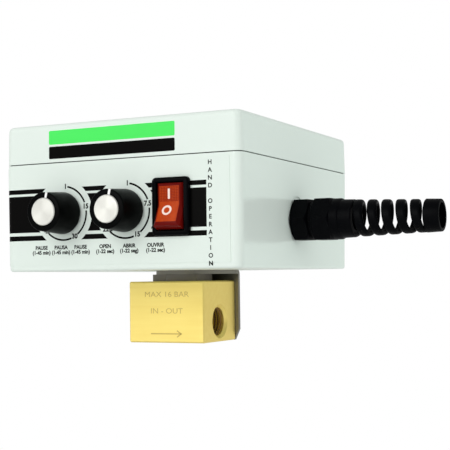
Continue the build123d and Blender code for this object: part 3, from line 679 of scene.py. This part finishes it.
def turned(profile, sides=64, ring=False):
    # a lathe part about Z: a circle extruded and scaled through pairs of distance and radius
    distance, radius = profile[0]
    deselectAll()
    bpy.ops.mesh.primitive_circle_add(vertices=sides, radius=radius * mm, location=(0, 0, distance * mm),
                                      fill_type="NOTHING" if ring else "NGON")
    piece = settle(bpy.context.object)
    bpy.ops.object.mode_set(mode="EDIT")
    bpy.ops.mesh.select_all(action="SELECT")
    extrude = bpy.ops.mesh.extrude_edges_move if ring else bpy.ops.mesh.extrude_region_move
    for nextDistance, nextRadius in profile[1:]:
        extrude(TRANSFORM_OT_translate={"value": (0, 0, (nextDistance - distance) * mm)})
        ratio = nextRadius / radius
        bpy.ops.transform.resize(value=(ratio, ratio, 1), center_override=(0, 0, nextDistance * mm))
        distance, radius = nextDistance, nextRadius
    bpy.ops.mesh.select_all(action="SELECT")
    bpy.ops.mesh.remove_doubles(threshold=mergeGap * mm)
    bpy.ops.mesh.normals_make_consistent(inside=False)
    objectMode()
    return piece


def combine(piece, tool, operation):
    only(piece)
    bpy.ops.object.modifier_add(type="BOOLEAN")
    cut = piece.modifiers[-1]
    cut.operation = operation
    cut.solver = "EXACT"
    cut.object = tool
    bpy.ops.object.modifier_apply(modifier=cut.name)
    bpy.data.objects.remove(tool)
    return piece


def joined(pieces):
    deselectAll()
    for piece in pieces:
        piece.select_set(True)
    bpy.context.view_layer.objects.active = pieces[0]
    bpy.ops.object.join()
    return bpy.context.object


def softenEdges(piece, width, segments):
    only(piece)
    bpy.ops.object.modifier_add(type="BEVEL")
    bevel = piece.modifiers[-1]
    bevel.width = width * mm
    bevel.segments = segments
    bevel.limit_method = "ANGLE"
    bevel.angle_limit = math.radians(softenAngle)
    bpy.ops.object.modifier_apply(modifier=bevel.name)
    return piece


def wound(piece, axis, pitch, turns, steps):
    # the open profile wound into a coil, with both ends closed
    only(piece)
    bpy.ops.object.modifier_add(type="SCREW")
    screw = piece.modifiers[-1]
    screw.axis = axis
    screw.angle = 2 * math.pi * turns
    screw.screw_offset = pitch * turns * mm
    screw.steps = int(steps * turns)
    screw.render_steps = screw.steps
    screw.use_merge_vertices = False
    bpy.ops.object.modifier_apply(modifier=screw.name)
    bpy.ops.object.mode_set(mode="EDIT")
    bpy.ops.mesh.select_all(action="SELECT")
    bpy.ops.mesh.fill_holes(sides=0)
    bpy.ops.mesh.select_all(action="SELECT")
    bpy.ops.mesh.normals_make_consistent(inside=False)
    objectMode()
    return piece


def present(piece, name, body, finish, standsFor=(), smooth=30):
    settle(piece)
    piece.name = name
    piece.data.name = name
    piece.data.materials.clear()
    piece.data.materials.append(finishes[finish].material)
    if smooth:
        bpy.ops.object.shade_smooth_by_angle(angle=math.radians(smooth))
    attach(piece, body)
    if standsFor:
        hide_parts(*standsFor)


# the front film: local x to the right, y up, z out of it
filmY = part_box("front_label")[0].y / mm


def onFilm(piece, x, z, lift=0.0):
    return stand(piece, (x, filmY - lift, z), (90, 0, 0))


knobSizes = {
    # distance from the film and radius, from the floor of the cap's recess round to the shaft's bore
    "profile": ((12.5, 5.13), (13.3, 5.13), (13.3, 6.85), (13.22, 7.02), (13.05, 7.16), (12.8, 7.24),
                (1.2, 7.95), (0.85, 7.93), (0.68, 7.85), (0.6, 7.7), (0.6, 6.4), (4.8, 6.4), (4.8, 3.03),
                (11.0, 3.03)),
    "pointerWidth": 0.95,
    "pointerInner": 5.16,
    "pointerOuter": 7.22,
    "pointerTurn": -12.0,
    "pointerStand": 0.05,
    "pointerDepth": 0.5,
    "pointerCorner": 0.3,
    "pointerEdge": 0.04,
    "front": 13.3,
}


def makeKnob(dial):
    sizes = knobSizes
    knob = onFilm(turned(sizes["profile"], sides=96), dialX[dial], dialHeight)
    present(knob, dial + "KnobGrip", dial + "_dial", "knob", (dial + "_knob",), smooth=40)
    half, front, outer = sizes["pointerWidth"] / 2, sizes["front"], sizes["pointerOuter"]
    line = block((-half, sizes["pointerInner"], front - sizes["pointerDepth"]),
                 (half, outer, front + sizes["pointerStand"]))
    bevelEdges(line, lambda middle, along: middle.z > front and middle.y > outer - near,
               sizes["pointerCorner"])
    bevelEdges(line, lambda middle, along: middle.z > front and abs(along.y) > square,
               sizes["pointerEdge"], 1)
    stand(line, (0, 0, 0), (0, 0, sizes["pointerTurn"]))
    onFilm(line, dialX[dial], dialHeight)
    present(line, dial + "PointerLine", dial + "_dial", "white", (dial + "_knob_pointer",))


switchSizes = {
    "x": 40.65,
    "z": 43.4,
    "bezel": (15.0, 21.0, 2.0),
    "bezelCorner": 1.6,
    "bezelEdge": 0.7,
    "body": (13.0, 19.0, 14.0),
    "bodyOverlap": 0.5,
    "window": (11.2, 17.4, 12.0),
    "windowEdge": 0.25,
    "wing": (0.5, 3.5, 6.3),
    "wingTaper": 0.1,
    "wall": 2.7,
}
rockerSizes = {
    "width": 10.6,
    "faceWidth": 8.2,
    "faceLength": 7.2,
    "lean": 1.3,
    "reach": 8.45,
    "spare": 1,         # trimmed off again by the barrel
    "face": 2.3,
    "skirt": -3.0,
    "core": 3,          # half the height of the block that joins both halves
    "sweep": 10,        # half the length of the barrel that trims it to its turning circle
    "edge": 0.22,
    "angle": 24.0,
    "endNormal": 0.2,   # the lower end faces the front less than this
    "barSize": (0.82, 3.7),
    "barHeight": 4.4,
    "barCorner": 0.2,
    "barExtra": 0.06,
    "ringRadii": (1.93, 1.15),
    "ringSideways": -0.5,
    "ringHeight": -2.7,
    "markStand": 0.06,
}
ribSizes = {
    "cuts": (11, 9),
    "margin": 0.7,
    "low": 1.8,
    "tall": 5.1,
    "half": 0.09,
    "sunk": 0.1,
    "uprightStand": 0.05,
    "crossStand": 0.06,
}


def makeSwitchHousing(sizes):
    width, height, front = sizes["bezel"]
    bezel = block((-width / 2, -height / 2, 0), (width / 2, height / 2, front))
    bevelEdges(bezel, lambda middle, along: abs(along.z) > square, sizes["bezelCorner"], 6)
    bevelEdges(bezel, lambda middle, along: middle.z > front - near, sizes["bezelEdge"], 4)
    width, height, depth = sizes["body"]
    body = block((-width / 2, -height / 2, -depth), (width / 2, height / 2, sizes["bodyOverlap"]))
    housing = combine(bezel, body, "UNION")
    out, length, wide = sizes["wing"]
    for side in (-1, 1):
        # snap wings behind the case's wall
        wing = block((-out, -wide / 2, -sizes["wall"] - length), (out, wide / 2, -sizes["wall"]))
        pick(wing, "FACE", lambda middle, normal: normal.z < -square)
        bpy.ops.transform.resize(value=(sizes["wingTaper"], 1, 1))
        stand(wing, (side * width / 2, 0, 0))
        housing = combine(housing, wing, "UNION")
    width, height, depth = sizes["window"]
    window = block((-width / 2, -height / 2, -depth), (width / 2, height / 2, through))
    housing = combine(housing, window, "DIFFERENCE")

    def isRim(middle, along):
        inside = abs(middle.x) < width / 2 + near and abs(middle.y) < height / 2 + near
        return middle.z > front - near and inside

    bevelEdges(housing, isRim, sizes["windowEdge"], 2)
    onSwitch(housing)
    present(housing, "switchBezel", "valve", "switchBlack", ("switch_housing",), smooth=35)


def onSwitch(piece):
    return onFilm(piece, switchSizes["x"], switchSizes["z"])


def rockerHalf(sizes, side):
    # one half of the rocker, with its sides and its end leaning in towards the face
    width, face = sizes["width"] / 2, sizes["face"]
    length = sizes["reach"] + sizes["spare"]
    low, high = (0, length) if side > 0 else (-length, 0)
    lean = sizes["lean"]
    half = block((-width, low, -length), (width, high, face - lean))
    pick(half, "FACE", lambda middle, normal: normal.z > square)
    bpy.ops.mesh.extrude_region_move(TRANSFORM_OT_translate={"value": (0, 0, lean * mm)})
    shrink = (sizes["faceWidth"] / sizes["width"], sizes["faceLength"] / length, 1)
    bpy.ops.transform.resize(value=shrink, center_override=(0, 0, face * mm))
    return settle(half)


def makeRocker(sizes):
    rocker = rockerHalf(sizes, 1)
    raised = stand(rockerHalf(sizes, -1), (0, 0, 0), (-sizes["angle"], 0, 0))
    rocker = combine(rocker, raised, "UNION")
    width, low = sizes["width"] / 2, sizes["face"] - sizes["lean"]
    reach, core, sweep = sizes["reach"], sizes["core"], sizes["sweep"]
    rocker = combine(rocker, block((-width, -core, low - reach), (width, core, low)), "UNION")
    barrel = stand(turned(((-sweep, reach), (sweep, reach)), sides=160), (0, 0, 0), (0, 90, 0))
    rocker = combine(rocker, barrel, "INTERSECT")
    pick(rocker, "FACE", lambda middle, normal: True)
    bpy.ops.mesh.bisect(plane_co=(0, 0, sizes["skirt"] * mm), plane_no=(0, 0, 1), use_fill=True,
                        clear_inner=True)
    objectMode()
    softenEdges(rocker, sizes["edge"], 3)
    onSwitch(rocker)
    present(rocker, "litRocker", "rocker", "litRed", ("switch_rocker",), smooth=35)

    def leans(middle, normal):
        return normal.y > -square or (normal.z < sizes["endNormal"] and middle.z < switchSizes["z"])

    # the leaning sides and ends get a deeper red, painted shade
    rocker.data.materials.append(finishes["litEdge"].material)
    pick(rocker, "FACE", leans)
    rocker.active_material_index = 1
    bpy.ops.object.material_slot_assign()
    objectMode()


def makeRockerRibs(sizes):
    # low ribs moulded over the pressed face, in a deeper red that is painted shade of the grid's grooves
    wide, tall = rockerSizes["faceWidth"] - sizes["margin"], sizes["tall"]
    low, half = sizes["low"], sizes["half"]
    face = rockerSizes["face"]
    sunk = face - sizes["sunk"]
    across, upwards = sizes["cuts"]
    bars = []
    for index in range(across + 1):
        x = -wide / 2 + wide * index / across
        bars.append(block((x - half, low, sunk), (x + half, low + tall, face + sizes["uprightStand"])))
    for index in range(upwards + 1):
        y = low + tall * index / upwards
        bars.append(block((-wide / 2, y - half, sunk), (wide / 2, y + half, face + sizes["crossStand"])))
    present(onSwitch(joined(bars)), "rockerRibs", "rocker", "litRib")


def makeRockerMarks(sizes):
    face = sizes["face"]
    top = face + sizes["markStand"]
    width, height = sizes["barSize"]
    y = sizes["barHeight"]
    bar = block((-width / 2, y - height / 2, face), (width / 2, y + height / 2, top + sizes["barExtra"]))
    bevelEdges(bar, lambda middle, along: abs(along.z) > square, sizes["barCorner"])
    present(onSwitch(bar), "onMark", "rocker", "blush")
    outer, inner = sizes["ringRadii"]
    profile = ((face, inner), (face, outer), (top, outer), (top, inner), (face, inner))
    ring = turned(profile, sides=48, ring=True)
    stand(ring, (sizes["ringSideways"], sizes["ringHeight"], 0))
    stand(ring, (0, 0, 0), (-sizes["angle"], 0, 0))
    present(onSwitch(ring), "offMark", "rocker", "blush")


glandSizes = {
    "y": -1.85,
    "z": 39.5,
    "seat": 67.627,
    "hexFlats": 15.6,
    "hexLength": 7.3,
    "hexChamfer": 1.7,
    "chamferSlope": 0.6,
    "neckLength": 1.1,
    "bodyEdge": 0.15,
    # profiles are pairs of distance and radius; some start at the piece that they stand on
    "bodyProfile": ((-8, 5.9), (-7.6, 6.25), (0.3, 6.25), (0.3, 7.0)),
    "neckRadius": 7.0,
    "stemProfile": ((0.0, 6.1), (6.7, 6.1), (7.0, 5.8)),
    "bore": ((-20, 4.9), (40, 4.9)),
    "nutFlats": 15.8,
    "nutLength": 8.0,
    "nutThread": (-1, 7.2, 6.13),     # start, end and radius, from the nut's start
    "nutBorePast": 9,
    "domeProfile": ((-0.5, 7.9), (2.5, 7.9), (2.9, 7.75), (3.1, 7.4)),
    "taperFoot": ((-0.4, 0.05), (0.0, -0.35)),
    "taperPast": 0.7,
    "collarLength": 5.9,
    "collarRadii": (6.3, 6.07),
    "collarEdge": 0.25,
    "rimProfile": ((-0.4, 0.0), (-0.12, -0.1), (0.0, -0.28)),
    "holeRadius": 4.8,
    "holeEdge": 0.1,
}
spiralSizes = {
    "start": 23.9,
    "length": 28.1,
    "pitch": 5.5,
    "band": 3.65,
    "wall": 2.1,
    "rounding": 1.0,
    "startRadius": 7.2,
    "endRadius": 6.2,
    "turn": -50.0,
    "buried": 0.4,       # share of the band that runs into the nut and the collar
    "steps": 48,
}


def onGland(piece):
    # local z points along the gland, away from the case
    return stand(piece, (glandSizes["seat"], glandSizes["y"], glandSizes["z"]), (0, 90, 0))


def hexagonBar(flats, start, length):
    # six-sided bar with its corners turned off at both ends
    corner = flats / math.sqrt(3)
    end = start + length
    chamfer, slope = glandSizes["hexChamfer"], glandSizes["hexChamfer"] * glandSizes["chamferSlope"]
    bar = turned(((start, corner), (end, corner)), sides=6)
    lathe = turned(((start - near, corner - chamfer), (start + slope, corner + near),
                    (end - slope, corner + near), (end + near, corner - chamfer)), sides=96)
    return combine(bar, lathe, "INTERSECT")


def shifted(profile, distance, radius=0.0):
    return tuple((distance + along, radius + out) for along, out in profile)


def makeGlandBody(sizes):
    end = sizes["hexLength"] + sizes["neckLength"]
    profile = sizes["bodyProfile"] + ((end, sizes["neckRadius"]),) + shifted(sizes["stemProfile"], end)
    core = turned(profile, sides=72)
    body = combine(hexagonBar(sizes["hexFlats"], 0, sizes["hexLength"]), core, "UNION")
    body = onGland(combine(body, turned(sizes["bore"], sides=72), "DIFFERENCE"))
    softenEdges(body, sizes["bodyEdge"], 2)
    present(body, "glandHexagon", "valve", "nylon", ("gland_body",), smooth=35)


def makeSpiral(sizes):
    # a rounded flat strip wound from the nut to the collar; its ends run into both
    bury = sizes["buried"] * sizes["band"]
    middle = sizes["startRadius"] - sizes["wall"] / 2
    start = sizes["start"] - bury
    strip = stand(sheet(sizes["wall"], sizes["band"]), (middle, 0, start), (90, 0, 0))
    bpy.ops.object.mode_set(mode="EDIT")
    bpy.ops.mesh.select_all(action="SELECT")
    bpy.ops.mesh.bevel(offset=sizes["rounding"] * mm, segments=4, affect="VERTICES")
    bpy.ops.mesh.select_all(action="SELECT")
    bpy.ops.mesh.delete(type="ONLY_FACE")
    objectMode()
    height = sizes["length"] + 2 * bury
    coil = wound(strip, "Z", sizes["pitch"], height / sizes["pitch"], sizes["steps"])
    inner = sizes["startRadius"] - sizes["wall"]
    narrowing = sizes["endRadius"] - sizes["startRadius"]
    for vertex in coil.data.vertices:
        # the coil's outside narrows evenly towards the collar, and its bore stays as it is
        along = min(max((vertex.co.z / mm - sizes["start"]) / sizes["length"], 0.0), 1.0)
        wall = sizes["wall"] + narrowing * along
        radius = math.hypot(vertex.co.x, vertex.co.y) / mm
        ratio = (inner + (radius - inner) * wall / sizes["wall"]) / radius
        vertex.co.x *= ratio
        vertex.co.y *= ratio
    return stand(coil, (0, 0, 0), (0, 0, sizes["turn"]))


def makeCollar(sizes, start):
    inner, rim = sizes["collarRadii"]
    hole, edge, holeEdge = sizes["holeRadius"], sizes["collarEdge"], sizes["holeEdge"]
    end = start + sizes["collarLength"]
    profile = ((start, hole), (start, inner - edge), (start + edge, inner),
               *shifted(sizes["rimProfile"], end, rim),
               (end, hole + holeEdge), (end - holeEdge, hole), (start, hole))
    return turned(profile, sides=96, ring=True)


def makeSleeve(sizes, shoulder, end, radius):
    dome = shifted(sizes["domeProfile"], shoulder)
    foot = (dome[0][0], sizes["holeRadius"])
    profile = (foot, *dome, *shifted(sizes["taperFoot"], end, radius), (end, sizes["holeRadius"]), foot)
    return turned(profile, sides=96, ring=True)


def makeGlandNut(sizes, spiral):
    start = sizes["hexLength"] + sizes["neckLength"]
    shoulder = start + sizes["nutLength"]
    hexagon = hexagonBar(sizes["nutFlats"], start, sizes["nutLength"])
    low, high, radius = sizes["nutThread"]
    hole = sizes["holeRadius"]
    for profile in (((start + low, radius), (start + high, radius)),
                    ((start, hole), (shoulder + sizes["nutBorePast"], hole))):
        hexagon = combine(hexagon, turned(profile, sides=72), "DIFFERENCE")
    collar = makeCollar(sizes, spiral["start"] + spiral["length"])
    sleeve = makeSleeve(sizes, shoulder, spiral["start"] + sizes["taperPast"], spiral["startRadius"])
    nut = onGland(joined([hexagon, sleeve, makeSpiral(spiral), collar]))
    present(nut, "glandSpiralNut", "valve", "nylon", ("gland_nut",), smooth=35)


portSizes = {
    "bore": 5.7,
    "sunk": 0.16,
    "ridge": 0.5,
    "pitch": 1.34,
    "turns": 5.5,
    "steps": 40,
    "lead": 0.7,
    "inletX": 0.0,
    "outletX": 31.7,
}


def makePortThread(name, mouthX, inwards, sizes):
    # the thread's crests, one ridge wound along the port's wall, in a dark brass that is painted shade
    radius = sizes["bore"] - sizes["sunk"]
    deselectAll()
    bpy.ops.mesh.primitive_circle_add(vertices=3, radius=sizes["ridge"] * mm, location=(0, radius * mm, 0))
    ridge = settle(bpy.context.object)
    bpy.ops.object.mode_set(mode="EDIT")
    bpy.ops.mesh.select_all(action="SELECT")
    bpy.ops.transform.rotate(value=math.pi, orient_axis="Z", center_override=(0, radius * mm, 0))
    objectMode()
    ridge = wound(ridge, "X", sizes["pitch"], sizes["turns"], sizes["steps"])
    lead = sizes["lead"]
    start = mouthX + (lead if inwards > 0 else -lead - sizes["pitch"] * sizes["turns"])
    stand(ridge, (start, 0, 0))
    present(ridge, name, "valve", "bore", smooth=20)


lettering = {
    "capitals": 0.69,      # a capital's height, as a share of the font's size
    "thickness": 0.012,
    "curve": 4,
}


def words(text, height, bold=0.0):
    # flat lettering with its capitals' height in millimetres, facing local z
    deselectAll()
    bpy.ops.object.text_add()
    letters = bpy.context.object
    letters.data.body = text
    letters.data.size = height / lettering["capitals"] * mm
    letters.data.align_x = "CENTER"
    letters.data.align_y = "CENTER"
    letters.data.offset = bold * mm
    letters.data.resolution_u = lettering["curve"]
    letters.data.extrude = lettering["thickness"] * mm
    bpy.ops.object.convert(target="MESH")
    return settle(bpy.context.object)


printSizes = {
    "lift": 0.015,
    "scaleRadius": 10.1,
    "scaleLine": 0.68,
    "scaleThickness": 0.024,
    "scaleStep": 2.5,
    "scaleStart": 10.0,
    "scaleEnd": 222.0,
    "numberAngles": (5.0, 77.0, 151.0, 229.0),
    "numberGap": 9.0,
    "numberShift": {"7.5": -0.45},
    "numberHeight": 1.75,
    "numberBold": 0.1,
    "cycleNumbers": ("1", "15", "30", "45"),
    "drainNumbers": ("1", "7.5", "15", "22.5"),
    "captionRows": (29.65, 27.8),
    "captionHeight": 1.35,
    "captionBold": 0.075,
    "cycleCaptions": ((-16.26, "PAUSE", "(1-45 min)"), (-7.39, "PAUSA", "(1-45 min)"),
                      (1.39, "PAUSE", "(1-45 min)")),
    "drainCaptions": ((12.21, "OPEN", "(1-22 sec)"), (22.54, "ABRIR", "(1-22 seg)"),
                      (33.6, "OUVRIR", "(1-22 sec)")),
    "column": "HAND OPERATION",
    "columnX": 55.99,
    "columnTop": 58.5,
    "columnBottom": 22.6,
    "columnLetter": 1.55,
    "columnBold": 0.055,
}


def dialPoint(x, radius, angle):
    # degrees clockwise from straight up
    turn = math.radians(angle)
    return x + radius * math.sin(turn), dialHeight + radius * math.cos(turn)


def makeArc(start, end, sizes):
    # a flat printed line round the dial, from one angle to the other
    arc = stand(sheet(sizes["scaleThickness"], sizes["scaleLine"]), (0, sizes["scaleRadius"], 0), (0, 90, 0))
    bpy.ops.object.mode_set(mode="EDIT")
    bpy.ops.mesh.select_all(action="SELECT")
    bpy.ops.mesh.spin(steps=int((end - start) / sizes["scaleStep"]), angle=math.radians(end - start),
                      center=(0, 0, 0), axis=(0, 0, 1))
    bpy.ops.mesh.select_all(action="SELECT")
    bpy.ops.mesh.remove_doubles(threshold=mergeGap / 2 * mm)
    bpy.ops.mesh.normals_make_consistent(inside=False)
    return stand(arc, (0, 0, 0), (0, 0, -start))


def makeDialScale(dial, sizes):
    x, lift, gap = dialX[dial], sizes["lift"], sizes["numberGap"]
    angles = sizes["numberAngles"]
    ends = [sizes["scaleStart"]]
    for angle in angles[1:-1]:
        ends += [angle - gap, angle + gap]
    ends.append(sizes["scaleEnd"])
    arcs = [makeArc(start, end, sizes) for start, end in zip(ends[0::2], ends[1::2])]
    pieces = [onFilm(arc, x, dialHeight, lift) for arc in arcs]
    for angle, number in zip(angles, sizes[dial + "Numbers"]):
        middle = x + sizes["numberShift"].get(number, 0.0)
        place = dialPoint(middle, sizes["scaleRadius"], angle)
        pieces.append(onFilm(words(number, sizes["numberHeight"], sizes["numberBold"]), *place, lift))
    present(joined(pieces), dial + "Scale", "valve", "ink", smooth=0)


def makeCaptions(dial, sizes):
    rows = []
    for x, *lines in sizes[dial + "Captions"]:
        for z, line in zip(sizes["captionRows"], lines):
            letters = words(line, sizes["captionHeight"], sizes["captionBold"])
            rows.append(onFilm(letters, x, z, sizes["lift"]))
    present(joined(rows), dial + "Captions", "valve", "ink", smooth=0)


def makeColumn(sizes):
    text = sizes["column"]
    step = (sizes["columnTop"] - sizes["columnBottom"]) / (len(text) - 1)
    letters = []
    for index, letter in enumerate(text):
        if letter != " ":
            piece = words(letter, sizes["columnLetter"], sizes["columnBold"])
            letters.append(onFilm(piece, sizes["columnX"], sizes["columnTop"] - step * index, sizes["lift"]))
    present(joined(letters), "switchCaption", "valve", "ink", smooth=0)


lidBars = {
    "left": -12.75,
    "right": 41.85,
    "stand": 0.03,
    "sunk": 0.1,
    "corner": 0.5,
    # name, finish, lowest and highest edge
    "bars": (("lidBarGreen", "green", 69.0, 74.3), ("lidBarBlack", "ink", 63.5, 68.2)),
}


def makeLidBars(sizes):
    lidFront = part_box("enclosure_lid")[0].y / mm
    for name, finish, low, high in sizes["bars"]:
        bar = block((sizes["left"], lidFront - sizes["stand"], low),
                    (sizes["right"], lidFront + sizes["sunk"], high))
        bevelEdges(bar, lambda middle, along: abs(along.y) > square, sizes["corner"], 4)
        present(bar, name, "valve", finish)


stampSizes = {
    "lift": 0.012,
    "letter": 2.1,
    "bold": -0.01,
    "stretch": 1.2,
    "rows": ((11.1, "MAX 16 BAR", 16.1), (4.5, "IN - OUT", 16.1)),
    "arrow": (8.9, 22.6, -4.5),
    "arrowWidth": 0.45,
    "arrowStand": 0.024,
    "arrowSunk": 0.05,
    "barbLength": 2.25,
    "barbAngle": 35,
}


def makeStamps(sizes):
    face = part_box("valve_body")[0].y / mm
    marks = []
    for z, text, x in sizes["rows"]:
        row = words(text, sizes["letter"], sizes["bold"])
        row.scale = (sizes["stretch"], 1, 1)
        settle(row)
        marks.append(stand(row, (x, face - sizes["lift"], z), (90, 0, 0)))
    left, right, z = sizes["arrow"]
    half, front, back = sizes["arrowWidth"] / 2, -sizes["arrowStand"], sizes["arrowSunk"]
    marks.append(block((left, face + front, z - half), (right, face + back, z + half)))
    for side in (-1, 1):
        barb = block((-sizes["barbLength"], front, -half), (half, back, half))
        marks.append(stand(barb, (right, face, z), (0, side * sizes["barbAngle"], 0)))
    present(joined(marks), "flowStamp", "valve", "etched", smooth=0)


addCamera(cameraView)
addLamps(studio["lamps"])
addFloor()
lightWorld()
bpy.context.scene.view_settings.view_transform = "Standard"
print("studio ready")

finishes = makeFinishes()
paintNodes(finishes)
print("materials on", len(nodeFinish), "nodes")

for dial in dialX:
    makeKnob(dial)
    makeDialScale(dial, printSizes)
    makeCaptions(dial, printSizes)
print("dials done")
makeSwitchHousing(switchSizes)
makeRocker(rockerSizes)
makeRockerRibs(ribSizes)
makeRockerMarks(rockerSizes)
makeColumn(printSizes)
print("switch done")
makeGlandBody(glandSizes)
makeGlandNut(glandSizes, spiralSizes)
print("gland done")
makePortThread("inletThread", portSizes["inletX"], 1, portSizes)
makePortThread("outletThread", portSizes["outletX"], -1, portSizes)
makeStamps(stampSizes)
makeLidBars(lidBars)
print("valve and lid done")

deselectAll()
